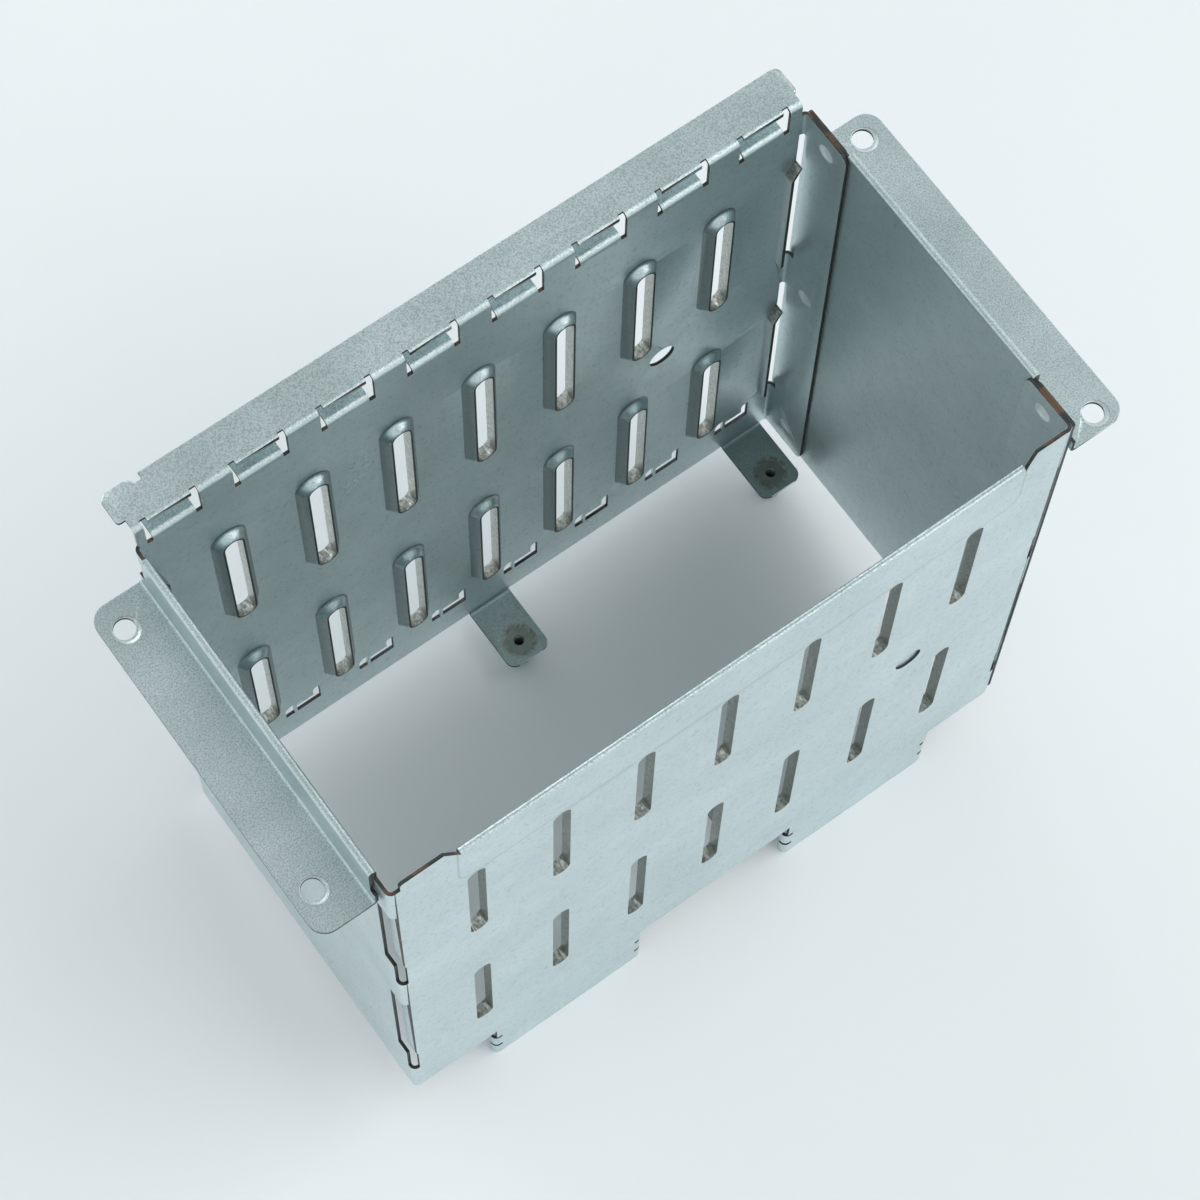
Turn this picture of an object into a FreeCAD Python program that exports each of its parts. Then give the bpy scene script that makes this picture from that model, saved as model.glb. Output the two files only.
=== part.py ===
import FreeCAD, Part
import math
import os
import Sketcher

# Hard drive cage of folded galvanised sheet. One long blank makes the front wall, the left
# end and the back wall, and is closed at the right by an end plate clinched to its flanges.
# Threaded standoffs are pressed into the feet.
#
# The cage is drawn with X along the long walls, Y from the front wall to the back wall
# and Z up. X = 0 is the outer face of the left end, Y = 0 the outer face of the front
# wall and Z = 0 the plain lower edges. Each sub-part's Placement then moves the
# origin to the middle of the whole object's box, level with its lowest edge.

DIMENSIONS = {
    "cage_length": 212.2,
    "cage_width": 113.2,
    "gauge": 1.0,
    "bend_inside": 1.0,
    "hem_gap": 0.3,
    "corner_top": 190.6,
    "flange_top": 194.4,
    "end_flange": 18.6,
    "end_flange_round": 3.0,
    "bay_count": 8,
    "bay_pitch": 26.5,
    "slot_first": 25.4,
    "slot_width": 5.5,
    "slot_length": 50.6,
    "slot_upper_middle": 140.0,
    "slot_lower_middle": 52.0,
    "collar_rim": 0.6,
    "collar_depth": 2.8,
    "collar_taper": 38.0,
    "corner_slot_length": 70.0,
    "corner_slot_chamfer": 5.0,
    "corner_neck_length": 14.0,
    "corner_neck_width": 2.4,
    "corner_lip": 3.0,
    "corner_back_upper": 114.0,
    "corner_back_lower": 26.0,
    "corner_back_wall_side": 4.7,
    "corner_back_end_side": 3.6,
    "corner_front_upper": 109.3,
    "corner_front_upper_length": 61.7,
    "corner_front_lower": 19.4,
    "corner_front_wall_side": 1.5,
    "corner_front_end_side": 6.5,
    "clinch_inset": 10.5,
    "clinch_low": 10.7,
    "clinch_middle": 100.0,
    "clinch_high": 186.5,
    "clinch_floor": 1.5,
    "clinch_depth": 0.6,
    "clinch_taper": 55.0,
    "knockout_radius": 4.3,
    "knockout_depth": 0.7,
    "knockout_back_x": 167.5,
    "knockout_back_z": 98.8,
    "knockout_front_x": 170.6,
    "knockout_front_z": 91.1,
    "rail_top": 200.5,
    "rail_reach": 12.3,
    "rail_left": 1.2,
    "rail_right": 2.4,
    "rail_wing_left": 1.1,
    "rail_wing_right": 1.2,
    "rail_wing_start": 3.2,
    "rail_wing_round": 2.2,
    "rail_notch_x": 8.4,
    "rail_notch_width": 2.4,
    "rail_notch_depth": 2.0,
    "window_width": 16.6,
    "window_relief": 1.8,
    "window_bottom": 189.6,
    "window_relief_reach": 1.1,
    "window_shelf_top": 191.8,
    "window_shelf_reach": 9.0,
    "latch_offset": 6.2,
    "latch_low": 13.2,
    "latch_eye_width": 3.0,
    "latch_eye_height": 6.6,
    "latch_bar_start": 10.2,
    "latch_bar_end": 18.6,
    "latch_bar_height": 4.6,
    "latch_spur_width": 2.4,
    "latch_spur_height": 9.0,
    "foot_width": 14.6,
    "foot_length": 23.3,
    "foot_round": 3.0,
    "foot_hole_inset": 16.6,
    "foot_back_x": 98.2,
    "foot_back_spacing": 96.2,
    "foot_front_x": 14.0,
    "foot_front_spacing": 105.2,
    "standoff_hex": 7.9,
    "standoff_head": 0.7,
    "standoff_barrel": 7.1,
    "standoff_length": 12.0,
    "standoff_bore": 3.3,
    "front_top": 194.7,
    "front_left": 3.5,
    "front_hem_top": 187.0,
    "front_hem_return": 6.5,
    "front_hem_start": 21.5,
    "front_hem_end": 197.8,
    "front_horn_left": 16.5,
    "front_horn_right": 200.2,
    "strip_drop": 25.0,
    "strip_start": 28.0,
    "strip_width": 54.0,
    "strip_spacing": 107.5,
    "strip_curl": 2.6,
    "strip_slit_depth": 2.8,
    "strip_slit_height": 1.6,
    "strip_slit_upper": 8.5,
    "strip_slit_lower": 17.0,
    "end_hem_top": 195.0,
    "hem_relief": 1.3,
    "ear_level": 178.0,
    "ear_skirt": 5.0,
    "ear_round": 5.0,
    "ear_hole": 6.0,
    "left_hem_start": 6.5,
    "left_hem_end": 107.0,
    "left_ear_start": 4.6,
    "left_ear_end": 109.4,
    "left_ear_reach": 19.0,
    "left_hole_first": 16.5,
    "left_hole_spacing": 84.3,
    "left_hole_reach": 13.1,
    "right_wall_start": 0.8,
    "right_wall_end": 112.6,
    "right_hem_start": 17.0,
    "right_hem_end": 95.5,
    "right_ear_start": 0.0,
    "right_ear_end": 110.4,
    "right_ear_reach": 20.4,
    "right_hole_first": 5.2,
    "right_hole_spacing": 98.7,
    "right_hole_reach": 13.0,
}

doc = FreeCAD.newDocument("drive_cage")


class Size:
    """A length of the sheet, or a sum of such lengths, with the formula that binds it."""

    def __init__(self, value, formula):
        self.value = value
        self.formula = formula

    def __add__(self, other):
        other = as_size(other)
        return Size(self.value + other.value, f"({self.formula} + {other.formula})")

    def __sub__(self, other):
        other = as_size(other)
        return Size(self.value - other.value, f"({self.formula} - {other.formula})")

    def __mul__(self, factor):
        return Size(self.value * factor, f"({self.formula} * {factor})")

    def __truediv__(self, divisor):
        return Size(self.value / divisor, f"({self.formula} / {divisor})")

    def __neg__(self):
        return self * -1


def as_size(number):
    """A plain number as a size, so that both can stand in one sum."""
    return number if isinstance(number, Size) else Size(float(number), f"({number})")


def make_sheet(dimensions):
    """Write the driving dimensions to the sheet and return each one as a named Size."""
    sheet = doc.addObject("Spreadsheet::Sheet", "dims")
    named = {}
    for row, (name, value) in enumerate(dimensions.items(), start=1):
        sheet.set(f"A{row}", name)
        sheet.set(f"B{row}", str(value))
        sheet.setAlias(f"B{row}", name)
        named[name] = Size(value, f"dims.{name}")
    doc.recompute()
    return named


DIM = make_sheet(DIMENSIONS)
BEND_OUTSIDE = DIM["bend_inside"] + DIM["gauge"]
HEM_WIDTH = DIM["gauge"] * 2 + DIM["hem_gap"]
FIRST_BAY = DIM["slot_first"] - DIM["bay_pitch"] / 2
SLOT_COUNT = DIM["bay_count"] - 1
OVERLAP = 0.5

NORMAL_SIGN = {"XY_Plane": 1, "XZ_Plane": -1, "YZ_Plane": 1}


def origin_feature(body, role):
    """The plane or axis of the body's own origin that has this role."""
    return next(part for part in body.Origin.OriginFeatures if part.Role == role)


def new_sketch(body, name, plane, level):
    """A sketch parallel to an origin plane, at this level on the axis square to it."""
    sketch = body.newObject("Sketcher::SketchObject", name)
    sketch.AttachmentSupport = [(origin_feature(body, plane), "")]
    sketch.MapMode = "FlatFace"
    rest_on(sketch, plane, level)
    return sketch


def rest_on(sketch, plane, level):
    """Move the sketch to this level on the axis square to its origin plane."""
    shift = as_size(level) * NORMAL_SIGN[plane]
    sketch.AttachmentOffset = FreeCAD.Placement(FreeCAD.Vector(0, 0, shift.value), FreeCAD.Rotation())
    sketch.setExpression("AttachmentOffset.Base.z", shift.formula)


def bind(sketch, kind, references, size):
    """Add a dimension to a sketch and tie it to the size's formula."""
    index = sketch.addConstraint(Sketcher.Constraint(kind, *references, size.value))
    sketch.setExpression(f"Constraints[{index}]", size.formula)


def pin(sketch, geometry, end, x, y):
    """Hold one point of the sketch at x and y from the sketch's origin."""
    bind(sketch, "DistanceX", (-1, 1, geometry, end), x)
    bind(sketch, "DistanceY", (-1, 1, geometry, end), y)


def vector(point):
    return FreeCAD.Vector(point[0].value, point[1].value, 0)


def arc_between(start, end, radius, turn):
    """Arc from start to end; turn is 1 to the left and -1 to the right.

    The centre lies off the middle of the chord by sqrt(radius^2 - (chord / 2)^2).
    """
    first, last = vector(start), vector(end)
    chord = last - first
    away = math.sqrt(max(radius.value**2 - (chord.Length / 2) ** 2, 0.0))
    side = FreeCAD.Vector(-chord.y, chord.x, 0).normalize() * away * turn
    centre = (first + last) * 0.5 + side
    angles = [math.atan2(point.y - centre.y, point.x - centre.x) for point in (first, last)]
    if turn < 0:
        angles.reverse()
    circle = Part.Circle(centre, FreeCAD.Vector(0, 0, 1), radius.value)
    return Part.ArcOfCircle(circle, angles[0], angles[1])


def draw_edges(sketch, edges):
    """Draw a closed loop of edges, each (start, end, radius or None, turn), and pin it."""
    ends = []
    for start, end, radius, turn in edges:
        if radius is None:
            index = sketch.addGeometry(Part.LineSegment(vector(start), vector(end)))
        else:
            index = sketch.addGeometry(arc_between(start, end, radius, turn))
        ends.append((index, 2, 1) if turn < 0 else (index, 1, 2))
    for place, (start, end, radius, turn) in enumerate(edges):
        index, first_end, last_end = ends[place]
        next_index, next_end, unused = ends[(place + 1) % len(ends)]
        sketch.addConstraint(Sketcher.Constraint("Coincident", index, last_end, next_index, next_end))
        pin(sketch, index, first_end, *start)
        if radius is not None:
            bind(sketch, "Radius", (index,), radius)


def outline(*corners):
    """Loop through corners (x, y) or (x, y, radius); a corner with a radius is square."""
    spots = [tuple(as_size(number) for number in corner) for corner in corners]
    count = len(spots)
    rounded = []
    for place, corner in enumerate(spots):
        if len(corner) == 2:
            rounded.append((corner, corner, None, 0))
            continue
        before, after, radius = spots[place - 1], spots[(place + 1) % count], corner[2]
        way_in = (vector(corner) - vector(before)).normalize()
        way_out = (vector(after) - vector(corner)).normalize()
        arrive = (corner[0] - radius * round(way_in.x), corner[1] - radius * round(way_in.y))
        leave = (corner[0] + radius * round(way_out.x), corner[1] + radius * round(way_out.y))
        turn = 1 if way_in.cross(way_out).z > 0 else -1
        rounded.append((arrive, leave, radius, turn))

    def draw(sketch):
        edges = []
        for place, (arrive, leave, radius, turn) in enumerate(rounded):
            if radius is not None:
                edges.append((arrive, leave, radius, turn))
            following = rounded[(place + 1) % count][0]
            if (vector(following) - vector(leave)).Length > 1e-6:
                edges.append((leave, following, None, 0))
        draw_edges(sketch, edges)

    return draw


def box(x_low, x_high, y_low, y_high):
    """Rectangle between two limits each way."""
    return outline((x_low, y_low), (x_high, y_low), (x_high, y_high), (x_low, y_high))


def ring(x, y, radius):
    """Full circle about x, y."""
    x, y, radius = as_size(x), as_size(y), as_size(radius)

    def draw(sketch):
        circle = Part.Circle(vector((x, y)), FreeCAD.Vector(0, 0, 1), radius.value)
        index = sketch.addGeometry(circle)
        pin(sketch, index, 3, x, y)
        bind(sketch, "Radius", (index,), radius)

    return draw


def hexagon(x, y, across_flats):
    """Regular hexagon with two flats square to the first axis."""
    half = across_flats / 2
    corner = across_flats / (2 * math.sqrt(3))
    points = [(x + half, y - corner), (x + half, y + corner), (x, y + corner * 2)]
    points += [(x - half, y + corner), (x - half, y - corner), (x, y - corner * 2)]
    return outline(*points)


def obround(x, middle, length, width):
    """Upright slot with half-round ends: two arcs joined by two tangent lines."""
    radius = width / 2
    reach = (length - width) / 2

    def draw(sketch):
        centres = (middle + reach, middle - reach)
        spans = ((0, math.pi), (math.pi, 2 * math.pi))
        arcs = []
        for level, span in zip(centres, spans):
            circle = Part.Circle(vector((x, level)), FreeCAD.Vector(0, 0, 1), radius.value)
            arcs.append(sketch.addGeometry(Part.ArcOfCircle(circle, *span)))
        top, foot = arcs
        sides = []
        for side in (-radius, radius):
            ends = (vector((x + side, centres[0])), vector((x + side, centres[1])))
            sides.append(sketch.addGeometry(Part.LineSegment(*ends)))
        left, right = sides
        for arc, arc_end, line, line_end in (
            (top, 2, left, 1),
            (foot, 1, left, 2),
            (foot, 2, right, 2),
            (top, 1, right, 1),
        ):
            sketch.addConstraint(Sketcher.Constraint("Tangent", arc, arc_end, line, line_end))
        sketch.addConstraint(Sketcher.Constraint("Equal", top, foot))
        bind(sketch, "Radius", (top,), radius)
        pin(sketch, top, 3, x, centres[0])
        pin(sketch, foot, 3, x, centres[1])

    return draw


def add(body, name, plane, start, depth, *loops):
    """Pad the loops from this level on the plane's axis, towards its plus side."""
    level = start if NORMAL_SIGN[plane] > 0 else as_size(start) + depth
    sketch = new_sketch(body, name + "_sketch", plane, level)
    for loop in loops:
        loop(sketch)
    pad = body.newObject("PartDesign::Pad", name)
    pad.Profile = sketch
    pad.setExpression("Length", as_size(depth).formula)
    body.Tip = pad
    doc.recompute()
    return pad


def cut(body, name, plane, start, depth, *loops):
    """Cut the loops out from this level on the plane's axis, towards its plus side."""
    before = body.Shape.Volume
    level = start if NORMAL_SIGN[plane] < 0 else as_size(start) + depth
    sketch = new_sketch(body, name + "_sketch", plane, level)
    for loop in loops:
        loop(sketch)
    pocket = body.newObject("PartDesign::Pocket", name)
    pocket.Profile = sketch
    pocket.setExpression("Length", as_size(depth).formula)
    body.Tip = pocket
    doc.recompute()
    if body.Shape.Volume > before - 0.1:
        raise ValueError(f"{name} takes nothing away")
    return pocket


def flare(feature, angle):
    """Slope the sides, so that the feature widens by this angle away from its sketch."""
    feature.setExpression("TaperAngle", angle.formula)
    doc.recompute()


def repeat(body, name, features, count, spacing):
    """Repeat the features along X."""
    pattern = body.newObject("PartDesign::LinearPattern", name)
    pattern.Originals = features
    pattern.Direction = (origin_feature(body, "X_Axis"), [""])
    pattern.setExpression("Occurrences", as_size(count).formula)
    length = spacing * (as_size(count) - 1).value
    pattern.setExpression("Length", length.formula)
    body.Tip = pattern
    doc.recompute()
    return pattern


def new_body(label):
    body = doc.addObject("PartDesign::Body", label)
    body.Label = label
    return body


def place(feature):
    """Move the origin to the middle of the object's box, at its lowest edge."""
    middle_x = (DIM["cage_length"] + DIM["gauge"] + DIM["right_ear_reach"] - DIM["left_ear_reach"]) / 2
    middle_y = (DIM["cage_width"] + DIM["rail_reach"]) / 2
    feature.setExpression("Placement.Base.x", (-middle_x).formula)
    feature.setExpression("Placement.Base.y", (-middle_y).formula)
    feature.setExpression("Placement.Base.z", DIM["strip_drop"].formula)


def span(first, last):
    """Start and depth of the stretch between two levels, whichever way they run."""
    low, high = sorted((as_size(first), as_size(last)), key=lambda size: size.value)
    return low, high - low


def make_channel(body):
    """Front wall, left end and back wall in one fold, then the two flanges at the right."""
    length, width, gauge = DIM["cage_length"], DIM["cage_width"], DIM["gauge"]
    outer, inner, stub = BEND_OUTSIDE, DIM["bend_inside"], BEND_OUTSIDE + OVERLAP
    add(
        body, "channel", "XY_Plane", 0, DIM["corner_top"],
        outline(
            (length, stub), (length, 0, outer), (0, 0, outer),
            (0, width, outer), (length, width, outer), (length, width - stub),
            (length - gauge, width - stub), (length - gauge, width - gauge, inner),
            (gauge, width - gauge, inner), (gauge, gauge, inner),
            (length - gauge, gauge, inner), (length - gauge, stub),
        ),
    )
    free, radius = DIM["end_flange"], DIM["end_flange_round"]
    top, corner = DIM["flange_top"], DIM["corner_top"]
    add(
        body, "end_flanges", "YZ_Plane", length - gauge, gauge,
        outline((outer, 0), (free, 0, radius), (free, top, radius), (outer, top)),
        outline(
            (width - outer, 0), (width - free, 0, radius), (width - free, top, radius),
            (width - outer, top),
        ),
    )
    add(
        body, "right_corners", "XY_Plane", corner - OVERLAP, top - corner + OVERLAP,
        *[
            outline(
                (length, face + stub * inwards), (length, face, outer), (length - stub, face),
                (length - stub, face + gauge * inwards),
                (length - gauge, face + gauge * inwards, inner), (length - gauge, face + stub * inwards),
            )
            for face, inwards in ((as_size(0), 1), (width, -1))
        ],
    )


def make_clinches(body):
    """Clinch points: shallow dishes pressed into the end flanges from inside the cage."""
    inset, inner = DIM["clinch_inset"], DIM["cage_length"] - DIM["gauge"]
    levels = (DIM["clinch_low"], DIM["clinch_middle"], DIM["clinch_high"])
    places = [(y, z) for y in (inset, DIM["cage_width"] - inset) for z in levels]
    dishes = cut(
        body, "clinch_dishes", "YZ_Plane", inner, DIM["clinch_depth"],
        *[ring(y, z, DIM["clinch_floor"]) for y, z in places],
    )
    flare(dishes, DIM["clinch_taper"])


def make_knockouts(body):
    """Round knockouts: punched out of the back wall, only half sheared inwards in the front."""
    gauge, width, depth = DIM["gauge"], DIM["cage_width"], DIM["knockout_depth"]
    radius = DIM["knockout_radius"]
    disc = ring(DIM["knockout_front_x"], DIM["knockout_front_z"], radius)
    add(body, "front_knockout", "XZ_Plane", gauge - OVERLAP, depth + OVERLAP, disc)
    cut(body, "front_knockout_recess", "XZ_Plane", -OVERLAP, depth + OVERLAP, disc)
    hole = ring(DIM["knockout_back_x"], DIM["knockout_back_z"], radius)
    cut(body, "back_knockout", "XZ_Plane", width - gauge - OVERLAP, gauge + 2 * OVERLAP, hole)


class LongWall:
    """One long wall of the folded shell; depth runs inwards from its outer face."""

    def __init__(self, body, side, face, inwards):
        self.body = body
        self.side = side
        self.face = as_size(face)
        self.inwards = inwards

    def depth(self, distance):
        """Y at this distance inside the wall's outer face."""
        return self.face + as_size(distance) * self.inwards

    def corner_slot_lengths(self):
        """Rows of corner slots with their lengths; the front wall's upper row is shorter."""
        plain = DIM["corner_slot_length"]
        upper = DIM["corner_front_upper_length"] if self.side == "front" else plain
        return ("upper", upper), ("lower", plain)

    def make_corner_slots(self, way):
        """Long slots through both corner bends; way is the direction of the narrow neck.

        Each slot keeps a turned-in lip along its edge in the long wall and its chamfer.
        """
        length, gauge = DIM["cage_length"], DIM["gauge"]
        side, chamfer = DIM[f"corner_{self.side}_wall_side"], DIM["corner_slot_chamfer"]
        neck, neck_width = DIM["corner_neck_length"], DIM["corner_neck_width"]
        opened, necked, lipped = [], [], []
        for row, tall in self.corner_slot_lengths():
            level = DIM[f"corner_{self.side}_{row}"]
            plain = level if way > 0 else level + tall
            narrow = plain + tall * way
            shoulder = narrow - neck * way
            for edge, inward in ((as_size(0), 1), (length, -1)):
                out = edge - inward
                wall_edge, neck_edge = edge + side * inward, edge + neck_width * inward
                opened.append(outline(
                    (out, plain), (wall_edge, plain), (wall_edge, shoulder - chamfer * way),
                    (neck_edge, shoulder), (out, shoulder),
                ))
                necked.append(box(out, neck_edge, shoulder - gauge * way, narrow))
                lipped.append(outline(
                    (wall_edge, plain), (wall_edge + gauge * inward, plain),
                    (wall_edge + gauge * inward, shoulder - chamfer * way),
                    (neck_edge + gauge * inward, shoulder), (neck_edge, shoulder),
                    (wall_edge, shoulder - chamfer * way),
                ))
        reach = span(self.depth(-1), self.depth(DIM[f"corner_{self.side}_end_side"]))
        cut(self.body, f"{self.side}_corner_slots", "XZ_Plane", *reach, *opened)
        neck_reach = span(self.depth(-1), self.depth(neck_width))
        cut(self.body, f"{self.side}_corner_necks", "XZ_Plane", *neck_reach, *necked)
        lip_reach = span(self.depth(gauge - OVERLAP), self.depth(gauge + DIM["corner_lip"]))
        add(self.body, f"{self.side}_corner_lips", "XZ_Plane", *lip_reach, *lipped)

    def make_feet(self):
        """Feet turned inwards below the lower edge, recessed for the standoff heads."""
        side = self.side
        start, spacing = DIM[f"foot_{side}_x"], DIM[f"foot_{side}_spacing"]
        gauge, inside = DIM["gauge"], DIM["bend_inside"]
        tip, width, radius = DIM["foot_length"], DIM["foot_width"], DIM["foot_round"]
        bend = add(
            self.body, f"{side}_foot_bend", "YZ_Plane", start, width,
            outline(
                (self.depth(0), OVERLAP),
                (self.depth(0), -BEND_OUTSIDE, BEND_OUTSIDE),
                (self.depth(BEND_OUTSIDE + OVERLAP), -BEND_OUTSIDE),
                (self.depth(BEND_OUTSIDE + OVERLAP), -inside),
                (self.depth(gauge), -inside, inside),
                (self.depth(gauge), OVERLAP),
            ),
        )
        plate = add(
            self.body, f"{side}_foot_plate", "XY_Plane", -BEND_OUTSIDE, gauge,
            outline(
                (start, self.depth(BEND_OUTSIDE)),
                (start + width, self.depth(BEND_OUTSIDE)),
                (start + width, self.depth(tip), radius),
                (start, self.depth(tip), radius),
            ),
        )
        middle, inset = start + width / 2, self.depth(DIM["foot_hole_inset"])
        hole = cut(
            self.body, f"{side}_foot_hole", "XY_Plane", -BEND_OUTSIDE - OVERLAP, gauge + 2 * OVERLAP,
            ring(middle, inset, DIM["standoff_barrel"] / 2),
        )
        recess = cut(
            self.body, f"{side}_foot_recess", "XY_Plane", -inside - DIM["standoff_head"],
            DIM["standoff_head"] + OVERLAP, hexagon(middle, inset, DIM["standoff_hex"]),
        )
        repeat(self.body, f"{side}_feet", [bend, plate, hole, recess], 2, spacing)


def make_rail(wall):
    """Rail turned outwards along the back wall's top, with a wing at either end."""
    body, gauge, inside = wall.body, DIM["gauge"], DIM["bend_inside"]
    left, right = DIM["rail_left"], DIM["cage_length"] - DIM["rail_right"]
    top, flat = DIM["rail_top"], wall.depth(gauge) + BEND_OUTSIDE
    base = DIM["corner_top"] - gauge
    add(
        body, "rail_bend", "YZ_Plane", left, right - left,
        outline(
            (wall.depth(gauge), base),
            (wall.depth(gauge), top, BEND_OUTSIDE),
            (flat + OVERLAP, top),
            (flat + OVERLAP, top - gauge),
            (wall.depth(0), top - gauge, inside),
            (wall.depth(0), base),
        ),
    )
    edge, wing = wall.depth(0) + DIM["rail_reach"], wall.depth(0) + DIM["rail_wing_start"]
    notch, notch_end = DIM["rail_notch_x"], DIM["rail_notch_x"] + DIM["rail_notch_width"]
    notch_floor = edge - DIM["rail_notch_depth"]
    outer_left, outer_right = -DIM["rail_wing_left"], DIM["cage_length"] - DIM["rail_wing_right"]
    radius = DIM["rail_wing_round"]
    add(
        body, "rail", "XY_Plane", top - gauge, gauge,
        outline(
            (left, flat), (left, wing), (outer_left, wing, radius / 2),
            (outer_left, edge, radius), (notch, edge, radius), (notch, notch_floor),
            (notch_end, notch_floor), (notch_end, edge),
            (outer_right, edge, radius), (outer_right, wing, radius / 2),
            (right, wing), (right, flat),
        ),
    )


def make_windows(wall):
    """Window over every bay, its metal sheared and turned outwards as a shelf."""
    body, gauge, inside = wall.body, DIM["gauge"], DIM["bend_inside"]
    half, relief = DIM["window_width"] / 2, DIM["window_relief"]
    low, top = DIM["window_bottom"], DIM["rail_top"]
    inner, sheared = wall.depth(gauge * 2), wall.depth(0)
    reach = wall.depth(0) + DIM["window_relief_reach"]
    window = cut(
        body, "window", "XY_Plane", low, top - low + OVERLAP,
        outline(
            (FIRST_BAY - half, inner), (FIRST_BAY + half, inner),
            (FIRST_BAY + half, reach), (FIRST_BAY + half - relief, reach),
            (FIRST_BAY + half - relief, sheared), (FIRST_BAY - half + relief, sheared),
            (FIRST_BAY - half + relief, reach), (FIRST_BAY - half, reach),
        ),
    )
    shelf, shelf_end = DIM["window_shelf_top"], wall.depth(0) + DIM["window_shelf_reach"]
    foot = low - gauge
    shelf_pad = add(
        body, "shelf", "YZ_Plane", FIRST_BAY - half + relief, (half - relief) * 2,
        outline(
            (wall.depth(gauge), foot),
            (wall.depth(gauge), shelf, BEND_OUTSIDE),
            (shelf_end, shelf),
            (shelf_end, shelf - gauge),
            (wall.depth(0), shelf - gauge, inside),
            (wall.depth(0), foot),
        ),
    )
    repeat(body, "windows", [window, shelf_pad], DIM["bay_count"], DIM["bay_pitch"])


def make_front_hem(wall):
    """Hem folded inwards along the front wall's top, between two taller horns."""
    body, gauge = wall.body, DIM["gauge"]
    left, right = DIM["front_left"], DIM["cage_length"] - BEND_OUTSIDE
    top, hem_top = DIM["front_top"], DIM["front_hem_top"]
    fold = HEM_WIDTH / 2
    add(
        body, "horns", "XZ_Plane", 0, gauge,
        outline((left, hem_top), (right, hem_top), (right, top, gauge), (left, top, gauge)),
    )
    start, end = DIM["front_hem_start"], DIM["front_hem_end"]
    horn_left, horn_right = DIM["front_horn_left"], DIM["front_horn_right"]
    cut(
        body, "between_horns", "XZ_Plane", -OVERLAP, gauge + 2 * OVERLAP,
        outline(
            (start, hem_top - fold), (end, hem_top - fold), (end, hem_top),
            (horn_right, top), (horn_right, top + OVERLAP),
            (horn_left, top + OVERLAP), (horn_left, top), (start, hem_top),
        ),
    )
    add(
        body, "front_hem", "YZ_Plane", start, end - start,
        outline(
            (0, hem_top - fold - OVERLAP),
            (0, hem_top, fold),
            (HEM_WIDTH, hem_top, fold),
            (HEM_WIDTH, hem_top - DIM["front_hem_return"]),
            (gauge + DIM["hem_gap"], hem_top - DIM["front_hem_return"]),
            (gauge + DIM["hem_gap"], hem_top - gauge, DIM["hem_gap"] / 2),
            (gauge, hem_top - gauge, DIM["hem_gap"] / 2),
            (gauge, hem_top - fold - OVERLAP),
        ),
    )


def make_strips(body):
    """Strips hanging in line with the front wall; tabs at either end curl inwards."""
    left, right = DIM["strip_start"], DIM["strip_start"] + DIM["strip_width"]
    low, gauge, inside, curl = -DIM["strip_drop"], DIM["gauge"], DIM["bend_inside"], DIM["strip_curl"]
    tab_top = -DIM["strip_slit_upper"]
    half, depth = DIM["strip_slit_height"] / 2, DIM["strip_slit_depth"]
    flat_left, flat_right = left + BEND_OUTSIDE, right - BEND_OUTSIDE
    strip = add(
        body, "strip", "XZ_Plane", 0, gauge,
        outline(
            (flat_left, low), (flat_right, low), (flat_right, tab_top), (right - gauge, tab_top),
            (right - gauge, OVERLAP), (left + gauge, OVERLAP), (left + gauge, tab_top),
            (flat_left, tab_top),
        ),
    )
    tabs, slits = [], []
    for edge, inward in ((left, 1), (right, -1)):
        flat = edge + (BEND_OUTSIDE + OVERLAP) * inward
        tabs.append(outline(
            (edge, curl), (edge, 0, BEND_OUTSIDE), (flat, 0), (flat, gauge),
            (edge + gauge * inward, gauge, inside), (edge + gauge * inward, curl),
        ))
        for level in (DIM["strip_slit_upper"], DIM["strip_slit_lower"]):
            slits.append(box(edge - inward, edge + depth * inward, -level - half, -level + half))
    tabs_pad = add(body, "strip_tabs", "XY_Plane", low, tab_top - low, *tabs)
    slits_cut = cut(body, "strip_slits", "XZ_Plane", -OVERLAP, curl + 2 * OVERLAP, *slits)
    repeat(body, "strips", [strip, tabs_pad, slits_cut], 2, DIM["strip_spacing"])


def make_slots(body):
    """Two rows of slots between the bays, through both long walls and their sloped collars."""
    width, length, rim = DIM["slot_width"], DIM["slot_length"], DIM["collar_rim"]
    rows = (DIM["slot_upper_middle"], DIM["slot_lower_middle"])
    far, gauge, collar = DIM["cage_width"], DIM["gauge"], DIM["collar_depth"]
    features = []
    for name, start in (("front", gauge - OVERLAP), ("back", far - gauge - collar)):
        raised = add(
            body, name + "_collars", "XZ_Plane", start, collar + OVERLAP,
            *[obround(DIM["slot_first"], row, length + rim * 2, width + rim * 2) for row in rows],
        )
        if name == "back":
            raised.Reversed = True
            rest_on(raised.Profile[0], "XZ_Plane", start)
        flare(raised, DIM["collar_taper"])
        features.append(raised)
    features.append(cut(
        body, "slots", "XZ_Plane", -OVERLAP, far + 2 * OVERLAP,
        *[obround(DIM["slot_first"], row, length, width) for row in rows],
    ))
    return features


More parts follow.
